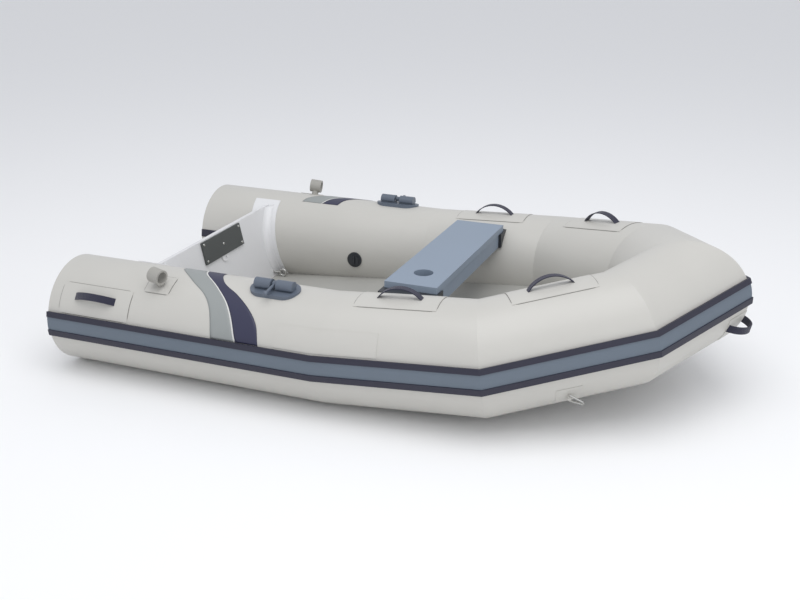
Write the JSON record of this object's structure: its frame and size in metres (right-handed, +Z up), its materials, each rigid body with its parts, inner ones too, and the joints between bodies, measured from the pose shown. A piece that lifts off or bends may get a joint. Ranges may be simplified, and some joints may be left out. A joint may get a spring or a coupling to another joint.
{
  "type": "inflatable tender",
  "caption": "Small inflatable tender with raked transom, inflated floor, bench seat, hinged oarlock pins, webbing handles and tow rings; rests on its tubes.",
  "frame": {"origin": "centre of the bounding box at the ground under the tubes", "axes": "+X forward to the bow, +Y to port, +Z up"},
  "size_m": [2.5491, 1.552, 0.5845],
  "materials": {
    "hull_fabric": "satin",
    "strake_blue": "matte",
    "navy_rubber": "matte",
    "floor_fabric": "matte",
    "white_plastic": "satin",
    "grey_plastic": "matte",
    "blue_plastic": "satin",
    "navy_webbing": "matte",
    "steel": "polished",
    "pale_rubber": "matte",
    "dark_plastic": "satin",
    "lock_blue": "satin"
  },
  "bodies": {
    "hull": {"air_floor": "floor_fabric", "air_valves": "dark_plastic", "bottom_skin": "hull_fabric", "bow_patch": "hull_fabric", "bow_strap": "navy_webbing", "end_cap_port": "hull_fabric", "end_cap_starboard": "hull_fabric", "grab_patches": "hull_fabric", "grab_strap_aft_port": "navy_webbing", "grab_strap_aft_starboard": "navy_webbing", "grab_strap_fore_port": "navy_webbing", "grab_strap_fore_starboard": "navy_webbing", "lifting_eyes": "steel", "motor_pad_inner": "grey_plastic", "motor_pad_outer": "grey_plastic", "name_plates": "hull_fabric", "oar_ring_patches": "hull_fabric", "oar_ring_port": "pale_rubber", "oar_ring_starboard": "pale_rubber", "oarlock_base_port": "lock_blue", "oarlock_base_starboard": "lock_blue", "rub_strake": "strake_blue", "safety_eye": "white_plastic", "seat": "blue_plastic", "seat_bracket_port": "dark_plastic", "seat_bracket_starboard": "dark_plastic", "stern_patches": "hull_fabric", "stern_strap_port": "navy_webbing", "stern_strap_starboard": "navy_webbing", "strake_returns": "navy_rubber", "strake_rib_lower": "navy_rubber", "strake_rib_upper": "navy_rubber", "tow_patches": "hull_fabric", "transom_board": "white_plastic", "transom_flange_port": "white_plastic", "transom_flange_starboard": "white_plastic", "tube_aft_port": "hull_fabric", "tube_aft_starboard": "hull_fabric", "tube_bow_port": "hull_fabric", "tube_bow_starboard": "hull_fabric", "tube_mid_port": "hull_fabric", "tube_mid_starboard": "hull_fabric", "tube_shoulder_port": "hull_fabric", "tube_shoulder_starboard": "hull_fabric"},
    "pin_port": {"oarlock_pin_port": "lock_blue"},
    "pin_starboard": {"oarlock_pin_starboard": "lock_blue"},
    "ring_port": {"tow_ring_port": "steel"},
    "ring_starboard": {"tow_ring_starboard": "steel"}
  },
  "joints": [
    {"name": "oarlock_pin_starboard_hinge", "type": "hinge", "parent": "hull", "child": "pin_starboard", "pos_m": [-0.348, -0.59614, 0.43416], "axis": [-1, 0, 0], "range_deg": [0, 105]},
    {"name": "tow_ring_starboard_hinge", "type": "hinge", "parent": "hull", "child": "ring_starboard", "pos_m": [0.74462, -0.54923, 0.15431], "axis": [-0.1809, 0.6044, -0.7759], "range_deg": [-15, 90]},
    {"name": "oarlock_pin_port_hinge", "type": "hinge", "parent": "hull", "child": "pin_port", "pos_m": [-0.348, 0.59614, 0.43416], "axis": [1, 0, 0], "range_deg": [0, 105]},
    {"name": "tow_ring_port_hinge", "type": "hinge", "parent": "hull", "child": "ring_port", "pos_m": [0.74462, 0.54923, 0.15431], "axis": [0.1809, 0.6044, 0.7759], "range_deg": [-15, 90]}
  ]
}
